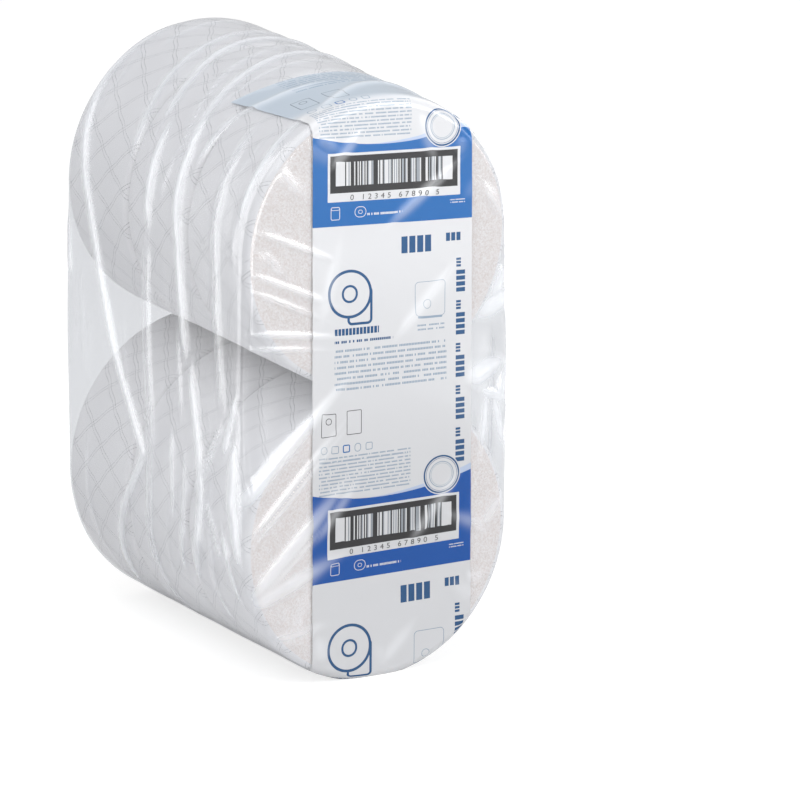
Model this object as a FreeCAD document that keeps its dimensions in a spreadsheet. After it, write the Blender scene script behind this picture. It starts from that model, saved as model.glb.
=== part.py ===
import FreeCAD, Part
import Sketcher
import math
import os

# Pack of six jumbo tissue rolls in one clear film wrap: two columns of three, one on the other.
# X runs across the pack, Y from the printed front to the back, Z up.
# The origin is the middle of the flat spot that the pack stands on.

doc = FreeCAD.newDocument("tissue_roll_pack")
sheet = doc.addObject("Spreadsheet::Sheet", "Sizes")

sizes = {
    # tissue roll
    "roll_diameter": 220,
    "roll_width": 90,
    "roll_edge": 3,  # bevel of the soft outer edge
    "stack_gap": 0.3,  # between the upper and the lower column
    "joint_gap": 0.3,  # between neighbours in a column
    "flat_depth": 3.6,  # how far the weight flattens the underside
    # card tube
    "core_bore": 66,
    "core_wall": 2.5,
    "core_fit": 0.05,
    # film wrap
    "film_wall": 0.4,
    "film_gap": 0.3,
    "waist_dip": 1.5,  # how far the film sinks in beside the line where the columns meet
    "pleat_height": 0.9,
    "pleat_width": 7,
    # places of the pleats, from the front of the wrap
    "pleat_first": 96,
    "pleat_second": 178,
    "pleat_third": 234,
    # welded seam that runs round the pack
    "seal_height": 1.2,
    "seal_width": 1.6,
    "seal_place": 11,
}

for row, (alias, value) in enumerate(sizes.items(), start=1):
    sheet.set(f"A{row}", alias)
    sheet.set(f"B{row}", str(value))
    sheet.setAlias(f"B{row}", alias)
doc.recompute()


def size(name):
    return float(getattr(sheet, name))


# Sizes that follow from the sheet, as expressions
roll_radius = "Sizes.roll_diameter / 2"
column_pitch = "(Sizes.roll_diameter + Sizes.stack_gap)"
roll_pitch = "(Sizes.roll_width + Sizes.joint_gap)"
column_length = "(3 * Sizes.roll_width + 2 * Sizes.joint_gap)"
core_radius = "(Sizes.core_bore / 2 + Sizes.core_wall)"
wrap_radius = "(Sizes.roll_diameter / 2 + Sizes.film_gap + Sizes.film_wall)"
wrap_length = f"({column_length} + 2 * (Sizes.film_gap + Sizes.film_wall))"
lower_axis = f"({wrap_radius} - Sizes.flat_depth)"


def origin_plane(body, role):
    return next(item for item in body.Origin.OriginFeatures if item.Role == role)


def new_sketch(body, name, role="XZ_Plane"):
    sketch = body.newObject("Sketcher::SketchObject", name)
    sketch.AttachmentSupport = [(origin_plane(body, role), "")]
    sketch.MapMode = "FlatFace"
    return sketch


def bind(sketch, constraint, name, expression):
    index = sketch.addConstraint(constraint)
    sketch.renameConstraint(index, name)
    sketch.setExpression(f"Constraints.{name}", expression)


def circle_sketch(body, name, radii):
    """Concentric circles about the roll's axis, one for each expression."""
    sketch = new_sketch(body, name)
    for count, radius in enumerate(radii):
        start = 20.0 + 10.0 * count
        circle = sketch.addGeometry(
            Part.Circle(FreeCAD.Vector(0, 0, 0), FreeCAD.Vector(0, 0, 1), start), False
        )
        sketch.addConstraint(Sketcher.Constraint("Coincident", circle, 3, -1, 1))
        bind(sketch, Sketcher.Constraint("Radius", circle, start), f"radius_{count}", radius)
    return sketch


def end_pad(body, sketch, name, length):
    pad = body.newObject("PartDesign::Pad", name)
    pad.Profile = sketch
    pad.Midplane = True
    pad.setExpression("Length", length)
    sketch.Visibility = False
    return pad


def flat_pocket(body, name, below_axis):
    """Cuts the flat spot, a given distance under the body's own centre."""
    sketch = new_sketch(body, name + "_outline")
    wide, low = 150.0, 400.0
    top = 100.0
    corners = [(-wide, -low), (wide, -low), (wide, -top), (-wide, -top)]
    for here, after in zip(corners, corners[1:] + corners[:1]):
        sketch.addGeometry(
            Part.LineSegment(FreeCAD.Vector(*here, 0), FreeCAD.Vector(*after, 0)), False
        )
    for edge in range(4):
        sketch.addConstraint(Sketcher.Constraint("Coincident", edge, 2, (edge + 1) % 4, 1))
    sketch.addConstraint(Sketcher.Constraint("Horizontal", 2))
    for edge in (1, 3):
        sketch.addConstraint(Sketcher.Constraint("Vertical", edge))
    sketch.addConstraint(Sketcher.Constraint("Symmetric", 0, 1, 0, 2, -2))
    reach = "2 * Sizes.roll_diameter"
    bind(sketch, Sketcher.Constraint("DistanceX", 0, 1, 0, 2, 2 * wide), "breadth", reach)
    bind(sketch, Sketcher.Constraint("DistanceY", 1, 1, 1, 2, low - top), "depth", reach)
    bind(sketch, Sketcher.Constraint("DistanceY", 2, 1, -1, 1, top), "level", below_axis)
    pocket = body.newObject("PartDesign::Pocket", name)
    pocket.Profile = sketch
    pocket.Midplane = True
    pocket.setExpression("Length", "2 * " + column_length)
    sketch.Visibility = False
    return pocket


def rim_edges(feature, end, smallest_radius):
    """Names of the edges round one end, front or back, that lie outside a given radius."""
    found = []
    box = feature.Shape.BoundBox
    level = {"front": box.YMin, "back": box.YMax}[end]
    for count, edge in enumerate(feature.Shape.Edges, start=1):
        middle = edge.valueAt((edge.FirstParameter + edge.LastParameter) / 2)
        at_end = all(abs(vertex.Point.y - level) < 0.01 for vertex in edge.Vertexes)
        if at_end and math.hypot(middle.x, middle.z) > smallest_radius:
            found.append(f"Edge{count}")
    return found


def bevel_rims(body, base, name, ends, smallest_radius):
    chamfer = body.newObject("PartDesign::Chamfer", name)
    edges = [edge for end in ends for edge in rim_edges(base, end, smallest_radius)]
    chamfer.Base = (base, edges)
    chamfer.setExpression("Size", "Sizes.roll_edge")


def place(body, along_y, above_floor):
    body.setExpression("Placement.Base.y", along_y)
    body.setExpression("Placement.Base.z", above_floor)


# Tissue roll: all its turns in one ring, with a soft edge on an end that faces the film


def make_roll(name, along_y, above_floor, lies_on_flat, soft_ends):
    body = doc.addObject("PartDesign::Body", name)
    body.Label = name
    bore = f"{core_radius} + Sizes.core_fit"
    outline = circle_sketch(body, name + "_outline", [roll_radius, bore])
    ring = end_pad(body, outline, name + "_ring", "Sizes.roll_width")
    if soft_ends:
        doc.recompute()
        bevel_rims(body, ring, name + "_edge", soft_ends, size("roll_diameter") / 3)
    if lies_on_flat:
        flat_pocket(body, name + "_flat", f"{roll_radius} - Sizes.flat_depth")
    place(body, along_y, above_floor)
    return body


# Card tube that a roll is wound on


def make_core(name, along_y, above_floor):
    body = doc.addObject("PartDesign::Body", name)
    body.Label = name
    outline = circle_sketch(body, name + "_outline", [core_radius, "Sizes.core_bore / 2"])
    end_pad(body, outline, name + "_tube", "Sizes.roll_width")
    place(body, along_y, above_floor)
    return body


# Film wrap: one closed skin drawn over both columns


def hull_sketch(body, name, radius):
    """Two half circles joined by shallow hollows that touch both of them."""
    sketch = new_sketch(body, name)
    half = (size("roll_diameter") + size("stack_gap")) / 2
    cap = size("roll_diameter") / 2 + 1.0
    dip = size("waist_dip")
    reach = (dip**2 + half**2) / (2 * dip)
    hollow = reach - cap
    lean = math.asin(half / reach)
    out = math.sqrt(reach**2 - half**2)
    normal = FreeCAD.Vector(0, 0, 1)
    for centre, circle_radius, start, end in (
        ((0, half), cap, -lean, math.pi + lean),
        ((-out, 0), hollow, -lean, lean),
        ((0, -half), cap, math.pi - lean, 2 * math.pi + lean),
        ((out, 0), hollow, math.pi - lean, math.pi + lean),
    ):
        circle = Part.Circle(FreeCAD.Vector(*centre, 0), normal, circle_radius)
        sketch.addGeometry(Part.ArcOfCircle(circle, start, end), False)
    # the arcs run anticlockwise, so the cap's end meets the left hollow's upper end, and so on
    for first, first_end, second, second_end in ((0, 2, 1, 2), (1, 1, 2, 1), (2, 2, 3, 2), (3, 1, 0, 1)):
        sketch.addConstraint(
            Sketcher.Constraint("Tangent", first, first_end, second, second_end)
        )
    for cap_arc in (0, 2):
        sketch.addConstraint(Sketcher.Constraint("PointOnObject", cap_arc, 3, -2))
    sketch.addConstraint(Sketcher.Constraint("Equal", 0, 2))
    sketch.addConstraint(Sketcher.Constraint("Equal", 1, 3))
    bind(sketch, Sketcher.Constraint("Radius", 0, cap), "cap", radius)
    bind(sketch, Sketcher.Constraint("DistanceY", 2, 3, 0, 3, 2 * half), "pitch", column_pitch)
    bind(sketch, Sketcher.Constraint("DistanceY", -1, 1, 0, 3, half), "rise", f"{column_pitch} / 2")
    touch = f"({column_pitch} / 2) ^ 2"
    side = f"(Sizes.waist_dip ^ 2 + {touch}) / (2 * Sizes.waist_dip) - {radius}"
    bind(sketch, Sketcher.Constraint("Radius", 1, hollow), "hollow", side)
    return sketch


def add_pleat(body, name, spine, from_front):
    """A fold of film that stands up as a low ridge all round the wrap."""
    sketch = new_sketch(body, name + "_outline", "YZ_Plane")
    sketch.setExpression(".AttachmentOffset.Base.x", f"-{wrap_length} / 2")
    middle, foot, tip = 40.0, 220.0, 225.0
    corners = [(middle - 5, foot), (middle + 5, foot), (middle, tip)]
    for here, after in zip(corners, corners[1:] + corners[:1]):
        sketch.addGeometry(
            Part.LineSegment(FreeCAD.Vector(*here, 0), FreeCAD.Vector(*after, 0)), False
        )
    for edge in range(3):
        sketch.addConstraint(Sketcher.Constraint("Coincident", edge, 2, (edge + 1) % 3, 1))
    sketch.addConstraint(Sketcher.Constraint("Horizontal", 0))
    sketch.addConstraint(Sketcher.Constraint("Equal", 1, 2))
    skin = f"{column_pitch} / 2 + {wrap_radius}"
    sunk = "Sizes.film_wall / 2"
    width = f"Sizes.pleat_width * (1 + {sunk} / Sizes.pleat_height)"
    rise = f"{skin} + Sizes.pleat_height"
    bind(sketch, Sketcher.Constraint("DistanceX", 0, 1, 0, 2, 10), "width", width)
    bind(sketch, Sketcher.Constraint("DistanceY", -1, 1, 0, 1, foot), "foot", f"{skin} - {sunk}")
    bind(sketch, Sketcher.Constraint("DistanceY", -1, 1, 1, 2, tip), "tip", rise)
    bind(sketch, Sketcher.Constraint("DistanceX", -1, 1, 1, 2, middle), "from_front", from_front)
    pipe = body.newObject("PartDesign::AdditivePipe", name)
    pipe.Profile = sketch
    pipe.Spine = (spine, [""])
    sketch.Visibility = False


def film_solid(name, inset, folds):
    """The wrap's outer skin, or the same form a given distance further in."""
    body = doc.addObject("PartDesign::Body", name)
    body.Label = name
    radius = f"({wrap_radius} - {inset})"
    outline = hull_sketch(body, name + "_outline", radius)
    hull = end_pad(body, outline, name + "_hull", f"{wrap_length} - 2 * {inset}")
    doc.recompute()
    bevel_rims(body, hull, name + "_shoulders", ["front", "back"], 0.0)
    for fold in folds:
        add_pleat(body, f"{name}_{fold}", outline, f"Sizes.{fold}")
    if folds:
        ring = hull_sketch(body, name + "_seal_outline", f"({wrap_radius} + Sizes.seal_height)")
        ring.setExpression(".AttachmentOffset.Base.z", "-Sizes.seal_place")
        end_pad(body, ring, name + "_seal", "Sizes.seal_width")
    flat_pocket(body, name + "_flat", f"{column_pitch} / 2 + {lower_axis} - {inset}")
    place(body, "0", f"{lower_axis} + {column_pitch} / 2")
    return body


columns = {"upper": f"{lower_axis} + {column_pitch}", "lower": lower_axis}
stations = {"front": f"-{roll_pitch}", "middle": "0", "back": roll_pitch}

nodes = []
for column, above_floor in columns.items():
    for station, along_y in stations.items():
        spot = f"{column}_{station}"
        soft_ends = [end for end in ("front", "back") if end == station]
        lies_on_flat = column == "lower"
        nodes.append(make_roll(f"roll_{spot}", along_y, above_floor, lies_on_flat, soft_ends))
        nodes.append(make_core(f"core_{spot}", along_y, above_floor))

wrap = doc.addObject("Part::Cut", "film_wrap")
wrap.Label = "film_wrap"
pleats = ["pleat_first", "pleat_second", "pleat_third"]
wrap.Base = film_solid("wrap_outside", "0", pleats)
wrap.Tool = film_solid("wrap_inside", "Sizes.film_wall", [])
nodes.append(wrap)
doc.recompute()

failed = [item.Label for item in doc.Objects if {"Invalid", "Error"} & set(item.State)]
if failed:
    raise SystemExit(f"These failed: {failed}")

os.makedirs("parts", exist_ok=True)
for node in nodes:
    shape = node.Shape
    if shape.isNull() or not shape.isValid():
        raise SystemExit(f"{node.Label} has no valid shape")
    print(node.Label, len(shape.Solids), "solid", round(shape.Volume), "mm3", shape.BoundBox)
    shape.exportStep(f"parts/{node.Label}.step")
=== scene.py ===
import math
import random

import bpy
import numpy as np
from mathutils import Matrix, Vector


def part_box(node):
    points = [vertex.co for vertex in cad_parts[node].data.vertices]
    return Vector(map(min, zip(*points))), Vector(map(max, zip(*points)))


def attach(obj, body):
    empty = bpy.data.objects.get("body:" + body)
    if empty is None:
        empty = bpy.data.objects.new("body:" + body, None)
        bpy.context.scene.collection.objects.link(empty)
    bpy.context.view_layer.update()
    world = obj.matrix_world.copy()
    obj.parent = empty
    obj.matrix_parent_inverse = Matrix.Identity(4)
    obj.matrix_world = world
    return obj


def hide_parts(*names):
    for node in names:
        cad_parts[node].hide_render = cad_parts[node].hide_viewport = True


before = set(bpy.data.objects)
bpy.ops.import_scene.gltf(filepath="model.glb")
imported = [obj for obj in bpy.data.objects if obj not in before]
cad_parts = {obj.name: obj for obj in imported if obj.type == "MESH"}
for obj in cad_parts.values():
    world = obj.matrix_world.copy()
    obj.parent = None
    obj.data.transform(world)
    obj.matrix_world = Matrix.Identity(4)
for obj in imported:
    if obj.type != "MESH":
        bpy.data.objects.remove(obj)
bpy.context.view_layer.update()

# Pack of jumbo tissue rolls in clear film. Metres, +Z up, printed front at -Y.
mm = 0.001
columns = ("upper", "lower")
stations = ("front", "middle", "back")


# Sizes read from the frame
rollLow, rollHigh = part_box("roll_upper_middle")
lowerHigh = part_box("roll_lower_middle")[1]
filmLow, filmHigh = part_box("film_wrap")
coreLow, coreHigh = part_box("core_upper_middle")
rollRadius = (rollHigh.x - rollLow.x) / 2
rollWidth = rollHigh.y - rollLow.y
coreRadius = (coreHigh.x - coreLow.x) / 2
upperAxis = rollHigh.z - rollRadius
lowerAxis = lowerHigh.z - rollRadius
columnPitch = upperAxis - lowerAxis
packMiddle = (upperAxis + lowerAxis) / 2
filmGap = 0.7 * mm  # from a roll to the film's outside
filmRadius = rollRadius + filmGap
packDepth = filmHigh.y - filmLow.y
frontPlane = filmLow.y


# Small helpers


# An sRGB hex colour as the linear values that a node takes
def toLinear(hexColour):
    channels = [int(hexColour[i : i + 2], 16) / 255 for i in (1, 3, 5)]
    return [c / 12.92 if c < 0.04045 else ((c + 0.055) / 1.055) ** 2.4 for c in channels] + [1.0]


# Adds a shader node. A socket's value is a number, a colour, a node or (node, output)
def addNode(tree, kind, settings=None, sockets=None):
    node = tree.nodes.new("ShaderNode" + kind)
    for name, value in (settings or {}).items():
        setattr(node, name, value)
    for name, value in (sockets or {}).items():
        if isinstance(value, bpy.types.Node):
            tree.links.new(value.outputs[0], node.inputs[name])
        elif isinstance(value, tuple) and isinstance(value[0], bpy.types.Node):
            tree.links.new(value[0].outputs[value[1]], node.inputs[name])
        else:
            node.inputs[name].default_value = value
    return node


def newMaterial(name):
    material = bpy.data.materials.new(name)
    material.use_nodes = True
    material.node_tree.nodes.clear()
    return material, material.node_tree


def deselectAll():
    if bpy.context.object and bpy.context.object.mode != "OBJECT":
        bpy.ops.object.mode_set(mode="OBJECT")
    bpy.ops.object.select_all(action="DESELECT")


def selectOnly(piece):
    deselectAll()
    piece.select_set(True)
    bpy.context.view_layer.objects.active = piece


def startEditing(piece):
    selectOnly(piece)
    bpy.ops.object.mode_set(mode="EDIT")
    bpy.ops.mesh.select_mode(type="VERT")
    bpy.ops.mesh.select_all(action="DESELECT")


# Selects the vertices, edges or faces of a mesh in edit mode that pass a test
def pickElements(piece, elements, test):
    bpy.ops.mesh.select_all(action="DESELECT")
    bpy.ops.object.mode_set(mode="OBJECT")
    for element in getattr(piece.data, elements):
        element.select = bool(test(element))
    bpy.ops.object.mode_set(mode="EDIT")


# Puts the object's place into its mesh, so that the object sits at the origin
def bakePlace(piece):
    selectOnly(piece)
    bpy.ops.object.transform_apply(location=True, rotation=True, scale=True)


def coordAt(piece, index):
    return piece.data.vertices[index].co


def edgeSpan(piece, edge):
    first, last = (coordAt(piece, i) for i in edge.vertices)
    return Vector(abs(a - b) for a, b in zip(first, last))


def readPoints(piece):
    points = np.empty(len(piece.data.vertices) * 3, np.float32)
    piece.data.vertices.foreach_get("co", points)
    return points.reshape(-1, 3).astype(float)


def writePoints(piece, points):
    piece.data.vertices.foreach_set("co", points.astype(np.float32).ravel())
    piece.data.update()


# Tissue rolls

roll = {
    "steps": 168,
    "edgeRound": 6.0 * mm,
    "edgeSegments": 5,
    "widthCuts": 11,
    "turnCuts": 13,
    "turnStep": 0.25 * mm,  # how far neighbouring bands of turns stand apart on a cut end
    "outOfRound": 0.35 * mm,
    "turnOn": 1.1,  # radians from one roll to the next, so that their lattices don't line up
}


# The profile of the wound tissue, spun about Y through the origin
def makeRoll():
    deselectAll()
    middle = (rollRadius + coreRadius) / 2
    outerFace = rollRadius - 0.1 * mm
    bpy.ops.mesh.primitive_plane_add(size=1, location=(middle, 0, 0))
    piece = bpy.context.object
    piece.name = "tissue_roll"
    piece.scale = (rollRadius - coreRadius - 0.05 * mm, rollWidth, 1)
    bakePlace(piece)
    startEditing(piece)
    pickElements(piece, "vertices", lambda v: v.co.x > middle)
    bpy.ops.mesh.bevel(offset=roll["edgeRound"], segments=roll["edgeSegments"], affect="VERTICES")
    bpy.ops.mesh.select_all(action="SELECT")
    bpy.ops.mesh.delete(type="ONLY_FACE")
    bpy.ops.mesh.select_mode(type="EDGE")
    pickElements(piece, "edges", lambda e: min(coordAt(piece, i).x for i in e.vertices) > outerFace)
    bpy.ops.mesh.subdivide(number_cuts=roll["widthCuts"])
    pickElements(piece, "edges", lambda e: edgeSpan(piece, e).x > 20 * mm)
    bpy.ops.mesh.subdivide(number_cuts=roll["turnCuts"])
    bpy.ops.mesh.select_all(action="SELECT")
    bpy.ops.mesh.spin(steps=roll["steps"], angle=math.tau, center=(0, 0, 0), axis=(0, 1, 0))
    bpy.ops.mesh.select_all(action="SELECT")
    bpy.ops.mesh.remove_doubles(threshold=0.01 * mm)
    bpy.ops.mesh.normals_make_consistent(inside=False)
    bpy.ops.object.mode_set(mode="OBJECT")
    bpy.ops.object.shade_smooth_by_angle(angle=math.radians(50))
    mapRoll(piece)
    return piece


# A copy with its own mesh, turned a little further than the last one and laid in its place
def layRoll(pattern, name, number):
    low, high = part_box(name)
    selectOnly(pattern)
    bpy.ops.object.duplicate()
    piece = bpy.context.object
    piece.name = name + "_tissue"
    piece.rotation_euler = (0, roll["turnOn"] * number, 0)
    piece.location = (0, (low.y + high.y) / 2, high.z - rollRadius)
    axis = piece.location.copy()
    bakePlace(piece)
    softenRoll(piece, axis, low.z, number)
    return piece


# A wound roll is never quite round, its turns stand a little apart, and it flattens where it lies
def softenRoll(piece, axis, floor, seed):
    points = readPoints(piece)
    x, z = points[:, 0], points[:, 2] - axis.z
    radius = np.hypot(x, z)
    angle = np.arctan2(z, x)
    share = np.clip((radius - coreRadius) / (rollRadius - coreRadius), 0, 1)
    lumps = sum(np.sin(k * angle + seed * 1.7 * k) / k for k in (2, 3, 5))
    radius = radius + roll["outOfRound"] * share * (lumps - 1.1)
    points[:, 0] = radius * np.cos(angle)
    points[:, 2] = axis.z + radius * np.sin(angle)
    along = points[:, 1] - axis.y
    onEnd = np.abs(along) > rollWidth / 2 - 0.5 * mm
    bands = np.sin(share * 41 + seed) + np.sin(share * 23 + 2 * seed + np.sign(along))
    points[:, 1] -= np.where(onEnd, np.sign(along) * roll["turnStep"] * (bands + 2) / 2, 0)
    points[:, 2] = np.maximum(points[:, 2], floor)
    writePoints(piece, points)


# Unrolls the side: U runs round the roll and V along it, both in metres
def mapRoll(piece):
    mesh = piece.data
    layer = mesh.uv_layers.new(name="unrolled")
    for face in mesh.polygons:
        corners = [mesh.vertices[i].co for i in face.vertices]
        angles = [math.atan2(c.z, c.x) for c in corners]
        if max(angles) - min(angles) > math.pi:
            angles = [a + math.tau if a < 0 else a for a in angles]
        for loop, angle, corner in zip(face.loop_indices, angles, corners):
            layer.data[loop].uv = (angle * rollRadius, corner.y)
        face.material_index = int(abs(face.normal.y) > 0.95)


embossing = {
    "cellRound": 31 * mm,  # round the roll
    "cellAlong": 38 * mm,  # along it
    "lineApart": 1.25 * mm,  # half the distance between a pair of lines
    "lineWidth": 0.38 * mm,
    "slant": 0.775,  # the lines run aslant, so cells are narrower square to them than round the roll
    "dotPitch": 1.2 * mm,
    "bend": 0.7 * mm,  # how far a line swings
    "twist": -0.17,  # millimetres round the roll for each one along it
    "crepe": 2.2 * mm,  # real crepe is finer than this, but would not show
    "cloud": 71.4 * mm,  # paler patches of the sheet
}


# Ends a material of paper or board, whose relief is a bump
def finishPaper(tree, colour, height, strength, distance, roughness, sheen):
    bump = addNode(tree, "Bump", None, {"Height": height, "Strength": strength, "Distance": distance})
    shader = addNode(
        tree, "BsdfPrincipled", None,
        {"Base Color": (colour, 2), "Roughness": roughness, "Normal": bump, "Specular IOR Level": sheen},
    )
    addNode(tree, "OutputMaterial", None, {"Surface": shader})


# Crepe tissue, two plies embossed: matt, soft, with a lattice of double dotted lines pressed in, their
# grooves darkened grey with painted shade
def tissueSideMaterial():
    material, tree = newMaterial("crepe_tissue_embossed")
    uv = addNode(tree, "UVMap", {"uv_map": "unrolled"})
    split = addNode(tree, "SeparateXYZ", None, {0: uv})
    around = addNode(
        tree, "Math", {"operation": "MULTIPLY_ADD"},
        {0: (split, 1), 1: embossing["twist"], 2: (split, 0)},
    )
    bend = embossing["bend"] / embossing["cellRound"]
    lines = []
    for sign in (1, -1):
        roundShare = addNode(tree, "Math", {"operation": "DIVIDE"}, {0: around, 1: embossing["cellRound"]})
        alongShare = addNode(
            tree, "Math", {"operation": "DIVIDE"}, {0: (split, 1), 1: sign * embossing["cellAlong"]}
        )
        swing = addNode(tree, "Math", {"operation": "MULTIPLY"}, {0: alongShare, 1: 2 * math.tau * sign})
        swung = addNode(tree, "Math", {"operation": "SINE"}, {0: swing})
        offset = addNode(tree, "Math", {"operation": "MULTIPLY"}, {0: swung, 1: bend})
        total = addNode(tree, "Math", {"operation": "ADD"}, {0: roundShare, 1: alongShare})
        total = addNode(tree, "Math", {"operation": "ADD"}, {0: total, 1: offset})
        place = addNode(tree, "Math", {"operation": "FRACT"}, {0: total})
        for operation, amount in (
            ("SUBTRACT", 0.5),
            ("ABSOLUTE", 0.0),
            ("MULTIPLY", embossing["slant"] * embossing["cellRound"]),
            ("SUBTRACT", embossing["lineApart"]),
            ("ABSOLUTE", 0.0),
        ):
            place = addNode(tree, "Math", {"operation": operation}, {0: place, 1: amount})
        line = addNode(
            tree, "MapRange", {"interpolation_type": "SMOOTHSTEP"},
            {"Value": place, "From Max": embossing["lineWidth"], "To Min": 1.0, "To Max": 0.0},
        )
        lines.append(line)
    both = addNode(tree, "Math", {"operation": "MAXIMUM"}, {0: lines[0], 1: lines[1]})
    dots = addNode(
        tree, "TexVoronoi", {"feature": "F1"},
        {"Vector": uv, "Scale": 1 / embossing["dotPitch"], "Randomness": 0.35},
    )
    dotted = addNode(
        tree, "MapRange", None,
        {"Value": dots, "From Min": 0.2, "From Max": 0.6, "To Min": 1.0, "To Max": 0.1},
    )
    pressedAndShaded = addNode(tree, "Math", {"operation": "MULTIPLY"}, {0: both, 1: dotted})
    crepe = addNode(
        tree, "TexNoise", None,
        {"Vector": uv, "Scale": 1 / embossing["crepe"], "Detail": 4.0, "Roughness": 0.6},
    )
    cloud = addNode(tree, "TexNoise", None, {"Vector": uv, "Scale": 1 / embossing["cloud"], "Detail": 2.0})
    paper = addNode(
        tree, "Mix", {"data_type": "RGBA"},
        {"Factor": cloud, "A": toLinear("#ECEBEC"), "B": toLinear("#F7F6F6")},
    )
    # The pressed lines are drawn grey: painted shade in their grooves
    colour = addNode(
        tree, "Mix", {"data_type": "RGBA"},
        {"Factor": pressedAndShaded, "A": (paper, 2), "B": toLinear("#7B7D82")},
    )
    relief = addNode(tree, "Math", {"operation": "MULTIPLY"}, {0: pressedAndShaded, 1: -1.0})
    fine = addNode(tree, "Math", {"operation": "MULTIPLY"}, {0: crepe, 1: 0.35})
    height = addNode(tree, "Math", {"operation": "ADD"}, {0: relief, 1: fine})
    finishPaper(tree, colour, height, strength=0.5, distance=0.4 * mm, roughness=0.9, sheen=0.2)
    return material


cutEnd = {
    "ringPitch": 1.1 * mm,  # a band of turns: one turn is 0.1 mm and would not show
    "lint": 1.4 * mm,
}


# A point's place about its own roll's axis: the coordinates, their parts, and the height over the axis
def aboutAxis(tree):
    place = addNode(tree, "TexCoord")
    split = addNode(tree, "SeparateXYZ", None, {0: (place, "Object")})
    between = lowerAxis - columnPitch / 2
    lifted = addNode(tree, "Math", {"operation": "SUBTRACT"}, {0: (split, 2), 1: between})
    wrapped = addNode(tree, "Math", {"operation": "MODULO"}, {0: lifted, 1: columnPitch})
    over = addNode(tree, "Math", {"operation": "SUBTRACT"}, {0: wrapped, 1: columnPitch / 2})
    return place, split, over


# The cut end of wound tissue: hundreds of edges, so fine rings of warm grey and white, and lint
def tissueEndMaterial():
    material, tree = newMaterial("wound_tissue_cut")
    place, split, over = aboutAxis(tree)
    flat = addNode(tree, "CombineXYZ", None, {0: (split, 0), 1: over, 2: 0.0})
    radius = addNode(tree, "VectorMath", {"operation": "LENGTH"}, {0: flat})
    rings = addNode(
        tree, "TexNoise", {"noise_dimensions": "1D"},
        {"W": (radius, "Value"), "Scale": 1 / cutEnd["ringPitch"], "Detail": 3.0, "Roughness": 0.7},
    )
    lint = addNode(
        tree, "TexNoise", None,
        {"Vector": (place, "Object"), "Scale": 1 / cutEnd["lint"], "Detail": 4.0, "Roughness": 0.7},
    )
    speckled = addNode(tree, "MapRange", None, {"Value": lint, "From Min": 0.34, "From Max": 0.62})
    mixed = addNode(tree, "Math", {"operation": "MULTIPLY"}, {0: (rings, 0), 1: 0.3})
    mixed = addNode(tree, "Math", {"operation": "MULTIPLY_ADD"}, {0: speckled, 1: 0.75, 2: mixed})
    colour = addNode(
        tree, "Mix", {"data_type": "RGBA"},
        {"Factor": mixed, "A": toLinear("#DFD2CB"), "B": toLinear("#FBF8F6")},
    )
    finishPaper(tree, colour, mixed, strength=0.5, distance=0.5 * mm, roughness=0.95, sheen=0.2)
    return material


# Card tubes

coreBoard = {
    "seamClimb": 78 * mm,  # along the tube for one turn of the winding
    "seamShare": 0.02,
    "fibre": 3 * mm,
}


# Spiral-wound brown board: grey-brown recycled fibre, with the winding's seam as a helix
def coreMaterial():
    material, tree = newMaterial("core_board_spiral_wound")
    place, split, over = aboutAxis(tree)
    angle = addNode(tree, "Math", {"operation": "ARCTAN2"}, {0: over, 1: (split, 0)})
    turn = addNode(tree, "Math", {"operation": "DIVIDE"}, {0: angle, 1: math.tau})
    climb = addNode(tree, "Math", {"operation": "DIVIDE"}, {0: (split, 1), 1: coreBoard["seamClimb"]})
    helix = addNode(tree, "Math", {"operation": "ADD"}, {0: turn, 1: climb})
    seamPlace = addNode(tree, "Math", {"operation": "FRACT"}, {0: helix})
    seam = addNode(tree, "Math", {"operation": "LESS_THAN"}, {0: seamPlace, 1: coreBoard["seamShare"]})
    fibre = addNode(
        tree, "TexNoise", None,
        {"Vector": (place, "Object"), "Scale": 1 / coreBoard["fibre"], "Detail": 6.0},
    )
    board = addNode(
        tree, "Mix", {"data_type": "RGBA"},
        {"Factor": fibre, "A": toLinear("#8F7A62"), "B": toLinear("#B9A68D")},
    )
    colour = addNode(
        tree, "Mix", {"data_type": "RGBA"},
        {"Factor": seam, "A": (board, 2), "B": toLinear("#75624D")},
    )
    finishPaper(tree, colour, fibre, strength=0.25, distance=0.3 * mm, roughness=0.85, sheen=0.5)
    return material


# Film wrap

film = {
    "hoopVertices": 256,
    "flankCuts": 47,
    "depthCuts": 182,
    "shoulder": 7.5 * mm,
    "waistSwell": 1.5 * mm,  # how far the sides stand out between the columns
    "slack": 0.2 * mm,
    "hollow": 2.6 * mm,  # how far the front end sinks in beside the gap between the columns
    "hollowAt": 100 * mm,
    "hollowReach": (12 * mm, 34 * mm),  # across and up
    "milkyAndHighlight": 1.6 * mm,  # a crease this high gets the most milky whitening and painted highlight
    "fineCreases": 64,
}
hoopLength = 2 * columnPitch + math.tau * filmRadius
quarter = math.pi / 2 * filmRadius  # from the foot of the pack to the widest place of the lower column


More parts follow.
